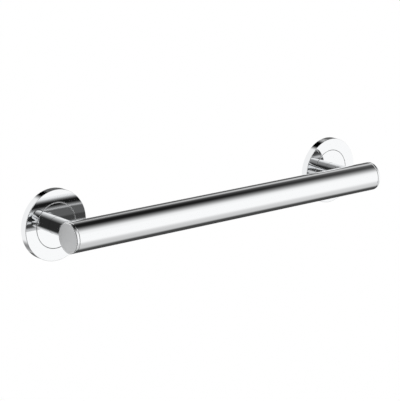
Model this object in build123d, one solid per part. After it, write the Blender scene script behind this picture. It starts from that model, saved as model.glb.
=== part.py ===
from build123d import *
import math
import os

# A straight grab bar: a round grip tube with plugged ends, on two posts that stand on round wall flanges.
# x runs along the tube, z is up, and the wall is the plane y = 0, with the room on its -y side.
# The origin lies in the wall plane, midway between the flanges and level with the tube.
# Lengths are in millimetres.

# Grip tube
tube_diameter = 34.0
tube_wall = 1.5
post_spacing = 413.0  # between the axes of the two posts
end_overhang = 20.0  # from a post's axis to the end of the bar
wall_clearance = 41.5  # free space between the wall and the tube

# End caps
cap_thickness = 3.6  # the rim that shows past the tube
cap_edge_radius = 0.8
cap_joint_bevel = 0.35  # on cap and tube alike, so that their joint shows as a fine line
cap_spigot_wall = 3.0
cap_spigot_bevel = 0.6
cap_seal_thickness = 2.0
cap_to_washer = 1.0  # room between a cap's spigot and the saddle washer

# Posts
post_diameter = 20.0
post_socket_depth = 1.5  # how far the post sits in its foot
post_socket_bevel = 0.3
post_web = 4.4  # solid metal between the two tapped holes
tap_runout = 1.5  # tapped depth past the end of a stud or screw

# Stud, saddle washer and nut, which hold the tube on its post
stud_diameter = 8.0
stud_end_bevel = 0.8
stud_past_nut = 2.0
nut_across_flats = 13.0
nut_height = 6.5
nut_chamfer_angle = 30.0
washer_diameter = 15.0
washer_thickness = 4.0  # at its middle

# Wall flange: a base with a raised foot, and a thin cover round the foot
flange_diameter = 80.0
flange_depth = 9.5  # from the wall to the front of foot and cover
foot_diameter = 51.0
foot_bevel = 0.4  # on foot and cover alike, so that their joint shows as a fine circle
plate_thickness = 4.5
plate_rim_gap = 1.5  # between the plate's rim and the inside of the cover
cover_wall = 1.0
cover_edge_radius = 0.5
cover_corner_radius = 0.3  # inside the cup
cover_lift = 0.6  # how far the cover's skirt stops from the wall
cover_seal_thickness = 2.4

# Wall screws: the holes that they go through
wall_screw_count = 3
wall_screw_hole = 6.0
wall_screw_head = 10.5
first_wall_screw_angle = 90.0  # the topmost one

# Base screw, from behind the base into the post
base_screw_diameter = 8.0
base_screw_head = 16.0
base_screw_sink = 0.3  # how far its head lies below the plate's back
base_screw_socket = 5.0  # across flats
base_screw_socket_depth = 3.0
base_screw_tip_bevel = 1.0
countersink_angle = 90.0

# Clearances, on each side
slide_clearance = 0.1  # spigot in tube, post in foot
joint_clearance = 0.35  # cover round the foot
bolt_clearance = 0.25  # stud and base screw through their holes
thread_clearance = 0.05  # male thread in its tapped hole
seat_clearance = 0.05  # curved and tapered faces that bear on each other
seal_clearance = 0.05  # round each O-ring

# Sizes that follow
tube_radius = tube_diameter / 2
bore_radius = tube_radius - tube_wall
tube_axis_y = -wall_clearance - tube_radius
tube_half_length = post_spacing / 2 + end_overhang - cap_thickness

spigot_radius = bore_radius - slide_clearance
spigot_length = end_overhang - cap_thickness - washer_diameter / 2 - cap_to_washer
cap_groove_width = cap_seal_thickness + 2 * seal_clearance
cap_groove_radius = bore_radius - cap_groove_width
cap_seal_radius = bore_radius - seal_clearance - cap_seal_thickness / 2

post_radius = post_diameter / 2
post_end_y = post_socket_depth - flange_depth
tapped_depth = (wall_clearance + post_end_y - post_web) / 2
engaged_depth = tapped_depth - tap_runout

stud_radius = stud_diameter / 2
stud_hole_radius = stud_radius + bolt_clearance
bore_back_y = -wall_clearance - tube_wall
washer_front_y = bore_back_y - washer_thickness
nut_front_y = washer_front_y - nut_height

flange_radius = flange_diameter / 2
foot_radius = foot_diameter / 2
cover_hole_radius = foot_radius + joint_clearance
cover_bore_radius = flange_radius - cover_wall
plate_radius = cover_bore_radius - plate_rim_gap
wall_screw_circle_radius = (foot_radius + plate_radius) / 2
cover_groove_width = cover_seal_thickness + 2 * seal_clearance
cover_groove_radius = cover_bore_radius - cover_groove_width
cover_seal_radius = cover_bore_radius - seal_clearance - cover_seal_thickness / 2
plate_middle_y = -plate_thickness / 2

base_screw_radius = base_screw_diameter / 2
base_screw_head_radius = base_screw_head / 2
base_screw_tip_y = post_end_y - engaged_depth
base_screw_sunk_radius = base_screw_head_radius + base_screw_sink + seat_clearance


def turned(outline, axis):
    return revolve(make_face(Polyline(*outline, close=True)), axis)


def rounded(profile, corner, radius):
    return fillet(profile.vertices().sort_by_distance(corner)[:1], radius)


def rod_along_y(radius, front_y, back_y):
    return Pos(0, (front_y + back_y) / 2, 0) * Rot(90, 0, 0) * Cylinder(radius, back_y - front_y)


def rod_in_tube(radius):
    return Pos(0, tube_axis_y, 0) * Rot(0, 90, 0) * Cylinder(radius, post_spacing)


def hexagon_along_y(across_flats, front_y, back_y):
    outline = RegularPolygon(across_flats / 2, 6, major_radius=False)
    return extrude(Plane((0, back_y, 0), x_dir=(1, 0, 0), z_dir=(0, -1, 0)) * outline, back_y - front_y)


def make_tube():
    wall = Pos(0, bore_radius + tube_wall / 2) * Rectangle(2 * tube_half_length, tube_wall)
    wall = chamfer(wall.vertices().group_by(Axis.Y)[-1], cap_joint_bevel)
    tube = Pos(0, tube_axis_y, 0) * revolve(wall, Axis.X)
    stud_hole = rod_along_y(stud_hole_radius, tube_axis_y, tube_axis_y + tube_diameter)
    for side in sides.values():
        tube -= Pos(side * post_spacing / 2, 0, 0) * stud_hole
    return tube


# The cap's profile starts at the tube's end, x = 0, with its spigot on the -x side.
def make_end_cap():
    groove_end = (-spigot_length - cap_groove_width) / 2
    groove_start = groove_end + cap_groove_width
    outline = [
        (cap_thickness, 0),
        (cap_thickness, tube_radius),
        (cap_joint_bevel, tube_radius),
        (0, tube_radius - cap_joint_bevel),
        (0, spigot_radius),
        (groove_start, spigot_radius),
        (groove_start, cap_groove_radius),
        (groove_end, cap_groove_radius),
        (groove_end, spigot_radius),
        (cap_spigot_bevel - spigot_length, spigot_radius),
        (-spigot_length, spigot_radius - cap_spigot_bevel),
        (-spigot_length, spigot_radius - cap_spigot_wall),
        (0, spigot_radius - cap_spigot_wall),
        (0, 0),
    ]
    profile = make_face(Polyline(*outline, close=True))
    profile = rounded(profile, (cap_thickness, tube_radius), cap_edge_radius)
    return Pos(tube_half_length, tube_axis_y, 0) * revolve(profile, Axis.X)


def make_cap_seal():
    ring = Rot(0, 90, 0) * Torus(cap_seal_radius, cap_seal_thickness / 2)
    return Pos(tube_half_length - spigot_length / 2, tube_axis_y, 0) * ring


# The post's front end is coped, so that it bears on the tube all round.
def make_post():
    post = rod_along_y(post_radius, tube_axis_y, post_end_y)
    post = chamfer(post.edges().sort_by(Axis.Y)[-1], post_socket_bevel)
    post -= rod_in_tube(tube_radius + seat_clearance)
    stud_tapping = rod_along_y(stud_radius + thread_clearance, tube_axis_y, tapped_depth - wall_clearance)
    screw_tapping = rod_along_y(base_screw_radius + thread_clearance, post_end_y - tapped_depth, post_end_y)
    return post - stud_tapping - screw_tapping


def make_post_stud():
    stud = rod_along_y(stud_radius, nut_front_y - stud_past_nut, engaged_depth - wall_clearance)
    return chamfer(stud.edges().filter_by(GeomType.CIRCLE), stud_end_bevel)


# A disc with a flat front for the nut and a back that is curved to the tube's bore.
def make_saddle_washer():
    disc = rod_along_y(washer_diameter / 2, washer_front_y, -wall_clearance)
    washer = disc & rod_in_tube(bore_radius - seat_clearance)
    return washer - rod_along_y(stud_hole_radius, washer_front_y, -wall_clearance)


def make_stud_nut():
    nut = hexagon_along_y(nut_across_flats, nut_front_y, washer_front_y)
    # a cone that starts at the flats' circle takes off the six front corners
    apex_rise = nut_across_flats / 2 * math.tan(math.radians(nut_chamfer_angle))
    cone_length = apex_rise + nut_height
    cone_radius = cone_length / math.tan(math.radians(nut_chamfer_angle))
    cone = turned([(0, washer_front_y), (cone_radius, washer_front_y), (0, washer_front_y - cone_length)], Axis.Y)
    return (nut & cone) - rod_along_y(stud_radius + thread_clearance, nut_front_y, washer_front_y)


def make_wall_base():
    groove_back_y = plate_middle_y + cover_groove_width / 2
    groove_front_y = plate_middle_y - cover_groove_width / 2
    outline = [
        (0, 0),
        (plate_radius, 0),
        (plate_radius, groove_back_y),
        (cover_groove_radius, groove_back_y),
        (cover_groove_radius, groove_front_y),
        (plate_radius, groove_front_y),
        (plate_radius, -plate_thickness),
        (foot_radius, -plate_thickness),
        (foot_radius, foot_bevel - flange_depth),
        (foot_radius - foot_bevel, -flange_depth),
        (0, -flange_depth),
    ]
    base = turned(outline, Axis.Y)
    base -= rod_along_y(post_radius + slide_clearance, -flange_depth, post_end_y)
    base -= Plane((0, 0, 0), z_dir=(0, 1, 0)) * CounterSinkHole(
        base_screw_radius + bolt_clearance, base_screw_sunk_radius, flange_depth, countersink_angle
    )
    plate_front = Plane((0, -plate_thickness, 0), x_dir=(1, 0, 0), z_dir=(0, -1, 0))
    for place in PolarLocations(wall_screw_circle_radius, wall_screw_count, first_wall_screw_angle):
        base -= plate_front * place * CounterSinkHole(
            wall_screw_hole / 2, wall_screw_head / 2, plate_thickness, countersink_angle
        )
    return base


def make_base_screw():
    head_y = -base_screw_sink
    head_slope = math.tan(math.radians(countersink_angle / 2))
    neck_y = head_y - (base_screw_head_radius - base_screw_radius) / head_slope
    outline = [
        (0, head_y),
        (base_screw_head_radius, head_y),
        (base_screw_radius, neck_y),
        (base_screw_radius, base_screw_tip_y + base_screw_tip_bevel),
        (base_screw_radius - base_screw_tip_bevel, base_screw_tip_y),
        (0, base_screw_tip_y),
    ]
    screw = turned(outline, Axis.Y)
    return screw - hexagon_along_y(base_screw_socket, head_y - base_screw_socket_depth, head_y)


# A shallow cup, open to the wall, with a round hole that fits the foot.
def make_flange_cover():
    inner_face_y = cover_wall - flange_depth
    outline = [
        (flange_radius, -cover_lift),
        (flange_radius, -flange_depth),
        (cover_hole_radius + foot_bevel, -flange_depth),
        (cover_hole_radius, foot_bevel - flange_depth),
        (cover_hole_radius, inner_face_y),
        (cover_bore_radius, inner_face_y),
        (cover_bore_radius, -cover_lift),
    ]
    profile = make_face(Polyline(*outline, close=True))
    profile = rounded(profile, (flange_radius, -flange_depth), cover_edge_radius)
    profile = rounded(profile, (cover_bore_radius, inner_face_y), cover_corner_radius)
    return revolve(profile, Axis.Y)


def make_cover_seal():
    ring = Rot(90, 0, 0) * Torus(cover_seal_radius, cover_seal_thickness / 2)
    return Pos(0, plate_middle_y, 0) * ring


def save(name, shape):
    shape.label = name
    export_step(shape, f"parts/{name}.step")


sides = {"left": -1, "right": 1}

# Pieces at each post, made once about x = 0 and alike on both sides
post_pieces = {
    "post": make_post(),
    "post_stud": make_post_stud(),
    "saddle_washer": make_saddle_washer(),
    "stud_nut": make_stud_nut(),
    "wall_base": make_wall_base(),
    "base_screw": make_base_screw(),
    "flange_cover": make_flange_cover(),
    "cover_seal": make_cover_seal(),
}

# Pieces at the bar's right end, mirrored for its left end
end_pieces = {
    "end_cap": make_end_cap(),
    "cap_seal": make_cap_seal(),
}

os.makedirs("parts", exist_ok=True)
save("bar_tube", make_tube())
for side_name, side in sides.items():
    for name, piece in post_pieces.items():
        save(f"{side_name}_{name}", Pos(side * post_spacing / 2, 0, 0) * piece)
    for name, piece in end_pieces.items():
        save(f"{side_name}_{name}", piece if side > 0 else mirror(piece, Plane.YZ))
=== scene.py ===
import math

import bmesh
import bpy
from mathutils import Matrix, Vector


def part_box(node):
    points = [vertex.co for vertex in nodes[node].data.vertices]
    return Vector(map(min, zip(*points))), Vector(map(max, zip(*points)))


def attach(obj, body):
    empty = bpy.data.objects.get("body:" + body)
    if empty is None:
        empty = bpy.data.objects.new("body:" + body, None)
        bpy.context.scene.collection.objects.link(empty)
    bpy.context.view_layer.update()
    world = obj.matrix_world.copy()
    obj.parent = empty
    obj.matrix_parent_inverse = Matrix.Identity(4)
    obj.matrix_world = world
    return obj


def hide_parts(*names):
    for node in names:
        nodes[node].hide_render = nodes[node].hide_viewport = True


# chrome grab bar on two posts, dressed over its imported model: metres, wall at y = 0, room towards -y
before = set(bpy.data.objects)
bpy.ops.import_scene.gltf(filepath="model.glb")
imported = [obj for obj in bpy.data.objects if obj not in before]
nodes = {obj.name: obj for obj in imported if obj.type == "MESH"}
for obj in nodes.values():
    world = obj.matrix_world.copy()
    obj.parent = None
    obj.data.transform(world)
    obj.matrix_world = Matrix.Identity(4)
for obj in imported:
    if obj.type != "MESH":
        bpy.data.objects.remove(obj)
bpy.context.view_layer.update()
mm = 0.001
sides = {"left": -1, "right": 1}
xAxis = Vector((1, 0, 0))
yAxis = Vector((0, 1, 0))
zAxis = Vector((0, 0, 1))
print("frame loaded:", len(nodes), "nodes")


def hexColour(code):  # sRGB hex to linear
    channels = [int(code[i:i + 2], 16) / 255 for i in (1, 3, 5)]
    return [c / 12.92 if c <= 0.04045 else ((c + 0.055) / 1.055) ** 2.4 for c in channels] + [1.0]


def addNode(tree, kind, settings, links):  # one node with its values and what feeds it
    node = tree.nodes.new(kind)
    for name, value in settings.items():
        if isinstance(name, str) and hasattr(node, name):
            setattr(node, name, value)
        else:
            node.inputs[name].default_value = value
    for name, source in links.items():
        tree.links.new(source, node.inputs[name])
    return node


def newMaterial(name, values):  # what is the same all over goes straight onto the shader's sockets
    material = bpy.data.materials.new(name)
    material.use_nodes = True
    tree = material.node_tree
    shader = tree.nodes["Principled BSDF"]
    for socket, value in values.items():
        shader.inputs[socket].default_value = value
    return material, tree, shader


def addSurface(tree, shader, look, sheen, relief):  # one pattern steers the roughness, one the bump
    rough = addNode(tree, "ShaderNodeMapRange",
                    {"From Min": look["sheenLow"], "From Max": look["sheenHigh"],
                     "To Min": look["roughLow"], "To Max": look["roughHigh"]},
                    {"Value": sheen.outputs["Fac"]})
    tree.links.new(rough.outputs["Result"], shader.inputs["Roughness"])
    bump = addNode(tree, "ShaderNodeBump", {"Strength": look["bump"], "Distance": look["reliefHeight"]},
                   {"Height": relief.outputs["Fac"]})
    tree.links.new(bump.outputs["Normal"], shader.inputs["Normal"])


waveTurn = 20  # radians that Blender's wave texture turns in one unit, at a scale of 1

# Decorative chrome plate on brass, buffed: a hard cold mirror whose tone comes from the room, with a faint
# plating haze and buffing hairlines that only soften its highlights
chromeLook = {
    "colour": "#EEEFF0", "roughLow": 0.018, "roughHigh": 0.05, "sheenLow": 0.3, "sheenHigh": 0.75,
    "haze": 26 * mm, "hazeDetail": 4.0, "hazeRoughness": 0.55,
    "hairline": 0.35 * mm, "hairlineStretch": 40, "hairlineDetail": 2.0,
    "reliefHeight": 0.00012 * mm, "bump": 1.0,
}


def polishedChrome():
    look = chromeLook
    even = {"Metallic": 1.0, "Base Color": hexColour(look["colour"])}
    material, tree, shader = newMaterial("polishedChrome", even)
    place = addNode(tree, "ShaderNodeTexCoord", {}, {}).outputs["Object"]
    haze = addNode(tree, "ShaderNodeTexNoise",
                   {"Scale": 1 / look["haze"], "Detail": look["hazeDetail"],
                    "Roughness": look["hazeRoughness"]},
                   {"Vector": place})
    # the hairlines run round the bar, drawn coarser than real buffing marks so that they show up close
    squeezed = addNode(tree, "ShaderNodeMapping", {"Scale": (look["hairlineStretch"], 1, 1)},
                       {"Vector": place})
    hairlines = addNode(tree, "ShaderNodeTexNoise",
                        {"Scale": 1 / (look["hairline"] * look["hairlineStretch"]),
                         "Detail": look["hairlineDetail"]},
                        {"Vector": squeezed.outputs["Vector"]})
    addSurface(tree, shader, look, haze, hairlines)
    return material


# Satin chrome, faced on a lathe and plated without buffing: the flat of each end cap reads as an even soft
# grey, and the faces of bases and covers that the wall hides, which are turned faster, as a dull one
satinLook = {
    "colour": "#E0E1E2", "roughLow": 0.42, "roughHigh": 0.5, "sheenLow": 0.0, "sheenHigh": 1.0,
    "facing": 0.45 * mm, "waver": 0.4, "waverDetail": 2.0, "waverScale": 1.5,
    "reliefHeight": 0.002 * mm, "bump": 0.5,
}
turnedLook = {
    **satinLook, "colour": "#D8D8D8", "roughLow": 0.5, "roughHigh": 0.62,
    "facing": 0.7 * mm, "reliefHeight": 0.004 * mm,
}


def satinChrome(name, look, centre, axis):
    even = {"Metallic": 1.0, "Base Color": hexColour(look["colour"])}
    material, tree, shader = newMaterial(name, even)
    place = addNode(tree, "ShaderNodeTexCoord", {}, {}).outputs["Object"]
    centred = addNode(tree, "ShaderNodeMapping", {"Location": -centre}, {"Vector": place})
    # rings round the turning axis: the tool left a fine spiral, drawn coarser than real so that it shows
    rings = addNode(tree, "ShaderNodeTexWave",
                    {"wave_type": "RINGS", "rings_direction": axis, "wave_profile": "SIN",
                     "Scale": 2 * math.pi / (waveTurn * look["facing"]), "Distortion": look["waver"],
                     "Detail": look["waverDetail"], "Detail Scale": look["waverScale"]},
                    {"Vector": centred.outputs["Vector"]})
    addSurface(tree, shader, look, rings, rings)
    return material


# A2 stainless steel, left as machined: duller and a little warmer than the chrome, with fine tool lines
# across the axis and an uneven sheen
steelLook = {
    "colour": "#C6C5C2", "roughLow": 0.2, "roughHigh": 0.4, "sheenLow": 0.3, "sheenHigh": 0.7,
    "sheen": 3 * mm, "sheenDetail": 3.0, "toolLine": 0.25 * mm, "waver": 0.6, "waverDetail": 2.0,
    "reliefHeight": 0.003 * mm, "bump": 0.6,
}


def machinedSteel():
    look = steelLook
    even = {"Metallic": 1.0, "Base Color": hexColour(look["colour"])}
    material, tree, shader = newMaterial("machinedStainlessSteel", even)
    place = addNode(tree, "ShaderNodeTexCoord", {}, {}).outputs["Object"]
    sheen = addNode(tree, "ShaderNodeTexNoise",
                    {"Scale": 1 / look["sheen"], "Detail": look["sheenDetail"]}, {"Vector": place})
    toolLines = addNode(tree, "ShaderNodeTexWave",
                        {"wave_type": "BANDS", "bands_direction": "Y", "wave_profile": "SIN",
                         "Scale": 2 * math.pi / (waveTurn * look["toolLine"]),
                         "Distortion": look["waver"], "Detail": look["waverDetail"]},
                        {"Vector": place})
    addSurface(tree, shader, look, sheen, toolLines)
    return material


# EPDM rubber, moulded: matt black with a fine pebbled grain and a faint grey bloom
rubberLook = {
    "colour": "#151516", "bloom": "#2B2B2C", "ior": 1.52, "roughLow": 0.55, "roughHigh": 0.78,
    "sheenLow": 0.0, "sheenHigh": 1.0, "bloomSize": 5 * mm, "bloomDetail": 4.0,
    "grain": 0.25 * mm, "grainDetail": 2.0, "reliefHeight": 0.012 * mm, "bump": 0.7,
}


def mouldedRubber():
    look = rubberLook
    material, tree, shader = newMaterial("mouldedRubber", {"Metallic": 0.0, "IOR": look["ior"]})
    place = addNode(tree, "ShaderNodeTexCoord", {}, {}).outputs["Object"]
    bloom = addNode(tree, "ShaderNodeTexNoise",
                    {"Scale": 1 / look["bloomSize"], "Detail": look["bloomDetail"]}, {"Vector": place})
    # a colour mix has its factor on socket 0, its colours on 6 and 7 and its result on 2
    tint = addNode(tree, "ShaderNodeMix",
                   {"data_type": "RGBA", 6: hexColour(look["colour"]), 7: hexColour(look["bloom"])},
                   {0: bloom.outputs["Fac"]})
    tree.links.new(tint.outputs[2], shader.inputs["Base Color"])
    grain = addNode(tree, "ShaderNodeTexNoise",
                    {"Scale": 1 / look["grain"], "Detail": look["grainDetail"]}, {"Vector": place})
    addSurface(tree, shader, look, grain, grain)
    return material


chrome = polishedChrome()
steel = machinedSteel()
rubber = mouldedRubber()
print("materials made")

# what the mesh work counts as one place, as a sliver and as a sharp edge
meshLook = {"weld": 0.0001 * mm, "near": 0.001 * mm, "sliver": 0.003 * mm, "faceNear": 0.01 * mm,
            "sharpAngle": 35}
chamfer = 1  # bevel segments of a plain chamfer


# each outline point is (along, radius), and a third and fourth value round its corner: size and segments
def turn(outline, axis, centre, steps):
    bm = bmesh.new()
    verts = [bm.verts.new(centre + axis * point[0] + zAxis * point[1]) for point in outline]
    for first, second in zip(verts, verts[1:]):
        bm.edges.new((first, second))
    if outline[0][1] > 0:  # a ring, with no end on the axis
        bm.edges.new((verts[-1], verts[0]))
    bmesh.ops.spin(bm, geom=bm.verts[:] + bm.edges[:], cent=centre, axis=axis, dvec=(0, 0, 0),
                   angle=2 * math.pi, steps=steps, use_merge=True, use_duplicate=False)
    bmesh.ops.remove_doubles(bm, verts=bm.verts[:], dist=meshLook["weld"])
    bmesh.ops.recalc_face_normals(bm, faces=bm.faces[:])
    for along, radius, size, segments in [point for point in outline if len(point) == 4]:
        ring = [edge for edge in bm.edges
                if all(onRing(v.co - centre, axis, along, radius) for v in edge.verts)]
        bmesh.ops.bevel(bm, geom=ring, offset=size, offset_type="OFFSET", segments=segments, profile=0.5,
                        affect="EDGES", clamp_overlap=True, material=-1)
    return bm


def onRing(place, axis, along, radius):
    reach = place.dot(axis)
    away = (place - axis * reach).length
    return abs(reach - along) < meshLook["near"] and abs(away - radius) < meshLook["near"]


def meshObject(name, bm):
    mesh = bpy.data.meshes.new(name)
    bm.to_mesh(mesh)
    bm.free()
    thing = bpy.data.objects.new(name, mesh)
    bpy.context.scene.collection.objects.link(thing)
    return thing


def carve(piece, bm, operation):  # cuts a piece with the shape in bm, or keeps or joins the two
    tool = meshObject("carvingTool", bm)
    cut = piece.modifiers.new("carve", "BOOLEAN")
    cut.object = tool
    cut.operation = operation
    cut.solver = "EXACT"
    graph = bpy.context.evaluated_depsgraph_get()
    piece.data = bpy.data.meshes.new_from_object(piece.evaluated_get(graph))
    piece.modifiers.clear()
    bpy.data.objects.remove(tool)
    cleaned = bmesh.new()  # slivers along the cut are merged away
    cleaned.from_mesh(piece.data)
    bmesh.ops.remove_doubles(cleaned, verts=cleaned.verts[:], dist=meshLook["sliver"])
    bmesh.ops.dissolve_degenerate(cleaned, edges=cleaned.edges[:], dist=meshLook["sliver"])
    cleaned.to_mesh(piece.data)
    cleaned.free()


def finishPiece(piece, node, materials):
    mesh = piece.data
    mesh.shade_smooth()
    mesh.set_sharp_from_angle(angle=math.radians(meshLook["sharpAngle"]))
    for material in materials:
        mesh.materials.append(material)
    even = piece.modifiers.new("evenNormals", "WEIGHTED_NORMAL")  # keeps the flats flat in a mirror finish
    even.keep_sharp = True
    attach(piece, "root")
    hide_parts(node)


def tidySize(metres):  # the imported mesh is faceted, so a size read from it is rounded to 0.01 mm
    return round(metres, 5)


# sizes that several pieces share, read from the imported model
tubeLow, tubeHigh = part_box("bar_tube")
tubeRadius = tidySize((tubeHigh.z - tubeLow.z) / 2)
tubeHalf = tidySize((tubeHigh.x - tubeLow.x) / 2)
tubeAxisY = tidySize((tubeHigh.y + tubeLow.y) / 2)
coverLow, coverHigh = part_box("right_flange_cover")
flangeRadius = tidySize((coverHigh.z - coverLow.z) / 2)
flangeFrontY = tidySize(coverLow.y)
postX = tidySize((coverHigh.x + coverLow.x) / 2)
postLow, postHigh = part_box("right_post")
postRadius = tidySize((postHigh.z - postLow.z) / 2)
postBackY = tidySize(postHigh.y)

tubeLook = {"wall": 1.5 * mm, "jointBevel": 0.35 * mm, "studHole": 4.25 * mm, "studHoleSteps": 48,
            "holeBand": 8 * mm, "steps": 256}
boreRadius = tubeRadius - tubeLook["wall"]


def gripTube():
    look = tubeLook
    # rings beside the stud holes keep the cuts' faces out of the long plain stretches
    bands = [side * (postX + shift * look["holeBand"]) for side in (1, -1) for shift in (1, -1)]
    outline = [(tubeHalf, boreRadius), (tubeHalf, tubeRadius, look["jointBevel"], chamfer)]
    outline += [(x, tubeRadius) for x in sorted(bands, reverse=True)]
    outline += [(-tubeHalf, tubeRadius, look["jointBevel"], chamfer), (-tubeHalf, boreRadius)]
    outline += [(x, boreRadius) for x in sorted(bands)]
    piece = meshObject("gripTube", turn(outline, xAxis, Vector((0, tubeAxisY, 0)), look["steps"]))
    for side in sides.values():  # stud holes under the posts
        hole = [(tubeAxisY, 0), (tubeAxisY, look["studHole"]), (0, look["studHole"]), (0, 0)]
        centre = Vector((side * postX, 0, 0))
        carve(piece, turn(hole, yAxis, centre, look["studHoleSteps"]), "DIFFERENCE")
    finishPiece(piece, "bar_tube", [chrome])


capLook = {"edgeRound": 0.8 * mm, "edgeSegments": 6, "jointBevel": 0.35 * mm, "play": 0.1 * mm,
           "spigotWall": 3.0 * mm, "spigotBevel": 0.6 * mm, "grooveWidth": 2.1 * mm, "steps": 256}


def endCap(sideName, side):
    look = capLook
    low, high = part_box(sideName + "_end_cap")
    thickness = tidySize(max(high.x, -low.x) - tubeHalf)
    reach = tidySize(high.x - low.x - thickness)  # how far the spigot goes in
    spigotRadius = boreRadius - look["play"]
    spigotBore = spigotRadius - look["spigotWall"]
    grooveFront = (look["grooveWidth"] - reach) / 2
    grooveBack = grooveFront - look["grooveWidth"]
    grooveRadius = boreRadius - look["grooveWidth"]
    outline = [
        (thickness, 0), (thickness, tubeRadius, look["edgeRound"], look["edgeSegments"]),
        (0, tubeRadius, look["jointBevel"], chamfer), (0, spigotRadius),
        (grooveFront, spigotRadius), (grooveFront, grooveRadius),
        (grooveBack, grooveRadius), (grooveBack, spigotRadius),
        (-reach, spigotRadius, look["spigotBevel"], chamfer), (-reach, spigotBore), (0, spigotBore), (0, 0),
    ]
    centre = Vector((side * tubeHalf, tubeAxisY, 0))
    piece = meshObject(sideName + "EndCap", turn(outline, xAxis * side, centre, look["steps"]))
    faceX = side * (tubeHalf + thickness)
    for face in piece.data.polygons:
        if abs(face.center.x - faceX) < meshLook["faceNear"]:
            face.material_index = 1
    satin = satinChrome(sideName + "CapSatinChrome", satinLook, centre, "X")
    finishPiece(piece, sideName + "_end_cap", [chrome, satin])


postLook = {"tapping": 4.05 * mm, "tapDepth": 14.55 * mm, "backBevel": 0.3 * mm, "copeGap": 0.05 * mm,
            "copeRings": 4, "steps": 160}


def post(sideName, side):
    look = postLook
    copeRadius = tubeRadius + look["copeGap"]
    copeY = tubeAxisY + copeRadius
    screwEnd = postBackY - look["tapDepth"]
    studEnd = copeY + look["tapDepth"]
    outline = [(screwEnd, 0), (screwEnd, look["tapping"]), (postBackY, look["tapping"]),
               (postBackY, postRadius, look["backBevel"], chamfer)]
    for i in range(look["copeRings"] + 1):  # rings over the front end, which is then curved to the tube
        share = i / look["copeRings"]
        outline.append((copeY, postRadius + (look["tapping"] - postRadius) * share))
    outline += [(studEnd, look["tapping"]), (studEnd, 0)]
    bm = turn(outline, yAxis, Vector((side * postX, 0, 0)), look["steps"])
    for v in bm.verts:
        if abs(v.co.y - copeY) < meshLook["near"]:
            v.co.y = tubeAxisY + math.sqrt(copeRadius ** 2 - v.co.z ** 2)
    finishPiece(meshObject(sideName + "Post", bm), sideName + "_post", [chrome])


baseLook = {
    "foot": 25.5 * mm, "footBevel": 0.4 * mm, "footSegments": 3, "plate": 4.5 * mm,
    "rimGrooveWidth": 2.5 * mm, "rimGroove": 36.5 * mm, "socketPlay": 0.1 * mm,
    "screwHole": 4.25 * mm, "screwSink": 8.35 * mm, "steps": 256,
    "wallHoles": 3, "wallHole": 3.0 * mm, "wallHoleSink": 5.25 * mm, "wallHoleSteps": 72,
    "cutPastBack": 1.0 * mm, "cutPastFront": 0.1 * mm,
}


def wallBase(sideName, side):
    look = baseLook
    low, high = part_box(sideName + "_wall_base")
    plateRadius = tidySize((high.z - low.z) / 2)
    plateY = -look["plate"]
    grooveBack = (plateY + look["rimGrooveWidth"]) / 2
    grooveFront = grooveBack - look["rimGrooveWidth"]
    socket = postRadius + look["socketPlay"]
    outline = [
        (0, look["screwSink"]), (0, plateRadius), (grooveBack, plateRadius),
        (grooveBack, look["rimGroove"]), (grooveFront, look["rimGroove"]),
        (grooveFront, plateRadius), (plateY, plateRadius), (plateY, look["foot"]),
        (flangeFrontY, look["foot"], look["footBevel"], look["footSegments"]), (flangeFrontY, socket),
        (postBackY, socket), (postBackY, look["screwHole"]),
        (look["screwHole"] - look["screwSink"], look["screwHole"]),
    ]
    centre = Vector((side * postX, 0, 0))
    piece = meshObject(sideName + "WallBase", turn(outline, yAxis, centre, look["steps"]))
    circle = (look["foot"] + plateRadius) / 2
    neckY = plateY + look["wallHoleSink"] - look["wallHole"]
    backY = look["cutPastBack"]
    frontY = plateY - look["cutPastFront"]
    sink = look["wallHoleSink"] + look["cutPastFront"]
    for i in range(look["wallHoles"]):  # the first hole is at the top
        angle = math.pi / 2 + i * 2 * math.pi / look["wallHoles"]
        place = centre + Vector((circle * math.cos(angle), 0, circle * math.sin(angle)))
        hole = [(backY, 0), (backY, look["wallHole"]), (neckY, look["wallHole"]), (frontY, sink), (frontY, 0)]
        carve(piece, turn(hole, yAxis, place, look["wallHoleSteps"]), "DIFFERENCE")
    for face in piece.data.polygons:  # only the foot is buffed; the plate and the back stay as turned
        if face.center.y > plateY - meshLook["faceNear"]:
            face.material_index = 1
    satin = satinChrome(sideName + "BaseSatinChrome", turnedLook, centre, "Y")
    finishPiece(piece, sideName + "_wall_base", [chrome, satin])


coverLook = {"sheet": 1.0 * mm, "edgeRound": 0.5 * mm, "edgeSegments": 8, "innerRound": 0.3 * mm,
             "innerSegments": 3, "hole": 25.85 * mm, "holeBevel": 0.4 * mm, "holeSegments": 3,
             "turnedMargin": 0.1 * mm, "steps": 256}


def flangeCover(sideName, side):
    look = coverLook
    low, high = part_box(sideName + "_flange_cover")
    skirtY = tidySize(high.y)
    innerY = flangeFrontY + look["sheet"]
    innerRadius = flangeRadius - look["sheet"]
    outline = [
        (skirtY, flangeRadius), (flangeFrontY, flangeRadius, look["edgeRound"], look["edgeSegments"]),
        (flangeFrontY, look["hole"], look["holeBevel"], look["holeSegments"]), (innerY, look["hole"]),
        (innerY, innerRadius, look["innerRound"], look["innerSegments"]), (skirtY, innerRadius),
    ]
    centre = Vector((side * postX, 0, 0))
    piece = meshObject(sideName + "FlangeCover", turn(outline, yAxis, centre, look["steps"]))
    margin = look["turnedMargin"]
    for face in piece.data.polygons:  # the inside of the cup stays as turned
        away = (face.center - centre).xz.length
        if face.center.y > innerY - margin and look["hole"] + margin < away < flangeRadius - margin:
            face.material_index = 1
    satin = satinChrome(sideName + "CoverSatinChrome", turnedLook, centre, "Y")
    finishPiece(piece, sideName + "_flange_cover", [chrome, satin])


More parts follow.
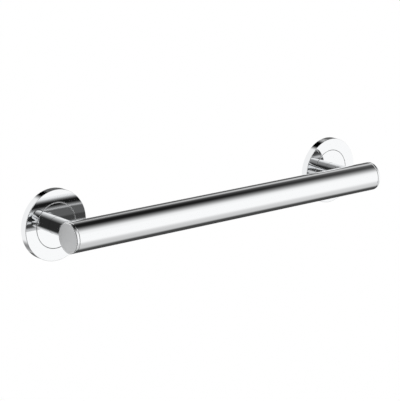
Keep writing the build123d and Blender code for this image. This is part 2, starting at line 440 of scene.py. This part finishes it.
# M8 coarse thread, whose crest stays a hair inside the blank that it is cut on
threadLook = {"pitch": 1.25 * mm, "depth": 0.72 * mm, "crestFlat": 0.2 * mm, "crestGap": 0.02 * mm,
              "turnsBefore": 2, "spareTurns": 3, "steps": 40}


def threadBar(centre, lowY, highY, radius):  # a closed helix that runs past both ends
    look = threadLook
    pitch = look["pitch"]
    crest = radius - look["crestGap"]
    root = crest - look["depth"]
    middle = pitch / 2
    flat = look["crestFlat"] / 2
    profile = [(0, root), (middle - flat, crest), (middle + flat, crest), (pitch, root)]
    startY = lowY - look["turnsBefore"] * pitch
    turns = math.ceil((highY - lowY) / pitch) + look["spareTurns"]
    bm = bmesh.new()
    verts = [bm.verts.new(centre + Vector((0, startY + along, away))) for along, away in profile]
    for first, second in zip(verts, verts[1:]):
        bm.edges.new((first, second))
    bmesh.ops.spin(bm, geom=bm.verts[:] + bm.edges[:], cent=centre, axis=yAxis,
                   dvec=yAxis * pitch / look["steps"], angle=2 * math.pi * turns,
                   steps=look["steps"] * turns, use_merge=False, use_duplicate=False)
    bmesh.ops.remove_doubles(bm, verts=bm.verts[:], dist=meshLook["near"])
    bmesh.ops.holes_fill(bm, edges=[edge for edge in bm.edges if edge.is_boundary], sides=0)
    bmesh.ops.recalc_face_normals(bm, faces=bm.faces[:])
    return bm


studLook = {"endBevel": 0.8 * mm, "steps": 80}


def postStud(sideName, side):
    look = studLook
    low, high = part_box(sideName + "_post_stud")
    radius = tidySize((high.z - low.z) / 2)
    centre = Vector((side * postX, 0, 0))
    blank = [(low.y, 0), (low.y, radius, look["endBevel"], chamfer),
             (high.y, radius, look["endBevel"], chamfer), (high.y, 0)]
    piece = meshObject(sideName + "PostStud", threadBar(centre, low.y, high.y, radius))
    carve(piece, turn(blank, yAxis, centre, look["steps"]), "INTERSECT")
    finishPiece(piece, sideName + "_post_stud", [steel])


screwLook = {"shank": 4.0 * mm, "tipBevel": 1.0 * mm, "headOverlap": 1.0 * mm, "socketFlats": 5.0 * mm,
             "socketSides": 6, "socketDepth": 3.0 * mm, "cutPastHead": 1.0 * mm, "steps": 80}


def baseScrew(sideName, side):
    look = screwLook
    low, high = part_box(sideName + "_base_screw")
    headRadius = tidySize((high.z - low.z) / 2)
    neckY = high.y - (headRadius - look["shank"])  # a 90 degree countersunk head
    centre = Vector((side * postX, 0, 0))
    shankEnd = neckY + look["headOverlap"]
    blank = [(low.y, 0), (low.y, look["shank"], look["tipBevel"], chamfer),
             (shankEnd, look["shank"]), (shankEnd, 0)]
    piece = meshObject(sideName + "BaseScrew", threadBar(centre, low.y, neckY, look["shank"]))
    carve(piece, turn(blank, yAxis, centre, look["steps"]), "INTERSECT")
    head = [(neckY, 0), (neckY, look["shank"]), (high.y, headRadius), (high.y, 0)]
    carve(piece, turn(head, yAxis, centre, look["steps"]), "UNION")
    halfSide = math.pi / look["socketSides"]
    corner = look["socketFlats"] / 2 / math.cos(halfSide)
    floorY = high.y - look["socketDepth"]
    mouthY = high.y + look["cutPastHead"]
    socket = [(floorY, 0), (floorY, corner), (mouthY, corner), (mouthY, 0)]
    hexagon = turn(socket, yAxis, centre, look["socketSides"])
    bmesh.ops.rotate(hexagon, cent=centre, matrix=Matrix.Rotation(halfSide, 3, "Y"), verts=hexagon.verts[:])
    carve(piece, hexagon, "DIFFERENCE")
    finishPiece(piece, sideName + "_base_screw", [steel])


# nuts, washers and O-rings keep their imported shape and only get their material
packedFinish = {"stud_nut": steel, "saddle_washer": steel, "cap_seal": rubber, "cover_seal": rubber}

gripTube()
for sideName, side in sides.items():
    endCap(sideName, side)
    post(sideName, side)
    wallBase(sideName, side)
    flangeCover(sideName, side)
    postStud(sideName, side)
    baseScrew(sideName, side)
    for name, material in packedFinish.items():
        for slot in nodes[sideName + "_" + name].material_slots:
            slot.material = material
print("pieces turned and dressed")

# camera, from the outlines of tube and flanges in the 400 by 401 picture
viewLook = {"azimuth": 40.22, "elevation": 14.89, "roll": 0.83, "distance": 1996.8 * mm,
            "aim": Vector((1.34, -4.0, -6.61)) * mm, "focalPixels": 1719.0, "longSide": 401, "sensor": 36}


def makeCamera():
    look = viewLook
    azimuth, elevation, roll = (math.radians(look[name]) for name in ("azimuth", "elevation", "roll"))
    forward = Vector((math.sin(azimuth) * math.cos(elevation), math.cos(azimuth) * math.cos(elevation),
                      -math.sin(elevation)))
    level = Vector((math.cos(azimuth), -math.sin(azimuth), 0))
    upright = level.cross(forward)
    right = level * math.cos(roll) + upright * math.sin(roll)
    up = upright * math.cos(roll) - level * math.sin(roll)
    data = bpy.data.cameras.new("photoCamera")
    data.sensor_width = look["sensor"]
    data.lens = look["sensor"] * look["focalPixels"] / look["longSide"]
    camera = bpy.data.objects.new("photoCamera", data)
    turnMatrix = Matrix((right, up, -forward)).transposed().to_4x4()
    camera.matrix_world = Matrix.Translation(look["aim"] - forward * look["distance"]) @ turnMatrix
    bpy.context.scene.collection.objects.link(camera)
    bpy.context.scene.camera = camera


makeCamera()

# studio: a white room, with soft-edged cards far off that only reflections see, set to the bands that
# the photo shows on tube, posts and rims. Azimuth 0 is the room side, 90 the right end, 180 the wall side;
# width and height are half angles in degrees, core the share of the card at full tone
cards = {
    "frontLow": {"azimuth": 45, "elevation": -55, "width": 50, "height": 40,
                 "core": 0.1, "tone": "#D4D4D4"},
    "leftFloor": {"azimuth": -120, "elevation": -65, "width": 50, "height": 30,
                  "core": 0.4, "tone": "#505050"},
    "backGrey": {"azimuth": 140, "elevation": -10, "width": 30, "height": 45,
                 "core": 0.7, "tone": "#686868"},
    "backLow": {"azimuth": 120, "elevation": -45, "width": 35, "height": 25,
                "core": 0.4, "tone": "#484848"},
    "overheadFlag": {"azimuth": 105, "elevation": 60, "width": 50, "height": 50,
                     "core": 0.1, "tone": "#1C1C1C"},
    "frontHigh": {"azimuth": -10, "elevation": 55, "width": 40, "height": 30,
                  "core": 0.2, "tone": "#909090"},
    "overheadTop": {"azimuth": 0, "elevation": 85, "width": 30, "height": 30,
                    "core": 0.4, "tone": "#202020"},
    "backHigh": {"azimuth": 165, "elevation": 40, "width": 20, "height": 20,
                 "core": 0.3, "tone": "#000000"},
    "backStrip": {"azimuth": 125, "elevation": 30, "width": 20, "height": 10,
                  "core": 0.2, "tone": "#D0D0D0"},
    "leftLow": {"azimuth": -175, "elevation": -50, "width": 25, "height": 20,
                "core": 0.2, "tone": "#000000"},
    "leftFlag": {"azimuth": -105, "elevation": 0, "width": 25, "height": 55,
                 "core": 0.8, "tone": "#383838"},
    "cameraSide": {"azimuth": -35, "elevation": 0, "width": 45, "height": 50,
                   "core": 0.5, "tone": "#303030"},
    "softbox": {"azimuth": 25, "elevation": 0, "width": 40, "height": 35,
                "core": 0.4, "tone": "#FFFFFF", "glow": 1.1},
}
# the floor is as far below the bar as in a bathroom
studioLook = {"reach": 6.0, "spacing": 0.05, "cardSegments": 48, "room": "#FFFFFF",
              "floorDrop": 0.9, "floorHalf": 12.0, "floor": "#FFFFFF"}


def cardMaterial(name, card):  # full tone inside the core, fading to nothing at the card's edge
    material = bpy.data.materials.new(name)
    material.use_nodes = True
    tree = material.node_tree
    tree.nodes.clear()
    place = addNode(tree, "ShaderNodeTexCoord", {}, {}).outputs["UV"]
    # from 0 to 1 across the card to -1 to 1
    centred = addNode(tree, "ShaderNodeMapping", {"Location": (-1, -1, 0), "Scale": (2, 2, 1)},
                      {"Vector": place})
    split = addNode(tree, "ShaderNodeSeparateXYZ", {}, {"Vector": centred.outputs["Vector"]})
    fades = []
    for direction in ("X", "Y"):
        away = addNode(tree, "ShaderNodeMath", {"operation": "ABSOLUTE"}, {0: split.outputs[direction]})
        fade = addNode(tree, "ShaderNodeMapRange",
                       {"interpolation_type": "SMOOTHSTEP", "From Min": card["core"], "From Max": 1.0,
                        "To Min": 1.0, "To Max": 0.0},
                       {"Value": away.outputs["Value"]})
        fades.append(fade.outputs["Result"])
    cover = addNode(tree, "ShaderNodeMath", {"operation": "MULTIPLY"}, {0: fades[0], 1: fades[1]})
    clear = addNode(tree, "ShaderNodeBsdfTransparent", {}, {})
    tone = addNode(tree, "ShaderNodeEmission",
                   {"Color": hexColour(card["tone"]), "Strength": card.get("glow", 1.0)}, {})
    mix = addNode(tree, "ShaderNodeMixShader", {},
                  {0: cover.outputs["Value"], 1: clear.outputs["BSDF"], 2: tone.outputs["Emission"]})
    addNode(tree, "ShaderNodeOutputMaterial", {}, {"Surface": mix.outputs["Shader"]})
    return material


def hangCard(name, card, reach):  # bowed round the bar, so that a nearer card is nearer all over
    azimuth, elevation = (math.radians(card[angle]) for angle in ("azimuth", "elevation"))
    towards = Vector((math.sin(azimuth) * math.cos(elevation), -math.cos(azimuth) * math.cos(elevation),
                      math.sin(elevation)))
    across = Vector((math.cos(azimuth), math.sin(azimuth), 0))
    turned = Matrix((across, towards.cross(across), towards)).transposed()
    width, height = (math.tan(math.radians(card[angle])) for angle in ("width", "height"))
    segments = studioLook["cardSegments"]
    bm = bmesh.new()
    bm.loops.layers.uv.new("cardPlace")
    bmesh.ops.create_grid(bm, x_segments=segments, y_segments=segments, size=1, calc_uvs=True)
    for v in bm.verts:
        v.co = turned @ Vector((v.co.x * width, v.co.y * height, 1)).normalized() * reach
    sheet = meshObject(name, bm)
    sheet.data.materials.append(cardMaterial(name, card))
    sheet.visible_camera = sheet.visible_diffuse = sheet.visible_shadow = False
    sheet.visible_transmission = sheet.visible_volume_scatter = False


def layFloor():
    look = studioLook
    bm = bmesh.new()
    bmesh.ops.create_grid(bm, x_segments=1, y_segments=1, size=look["floorHalf"])
    bmesh.ops.translate(bm, vec=(0, 0, -look["floorDrop"]), verts=bm.verts[:])
    floor = meshObject("floor", bm)
    even = {"Base Color": hexColour(look["floor"]), "Roughness": 1.0, "Specular IOR Level": 0.0}
    material, tree, shader = newMaterial("paperFloor", even)
    floor.data.materials.append(material)
    floor.visible_glossy = False  # the chrome sees the white room below it instead


def lightRoom():
    world = bpy.data.worlds.new("whiteRoom")
    bpy.context.scene.world = world
    world.use_nodes = True
    background = world.node_tree.nodes["Background"]
    background.inputs["Color"].default_value = hexColour(studioLook["room"])
    background.inputs["Strength"].default_value = 1.0
    bpy.context.scene.view_settings.view_transform = "Standard"


lightRoom()
layFloor()
for i, (name, card) in enumerate(cards.items()):  # a later card hangs in front of an earlier one
    hangCard(name, card, studioLook["reach"] - i * studioLook["spacing"])
print("studio lit")
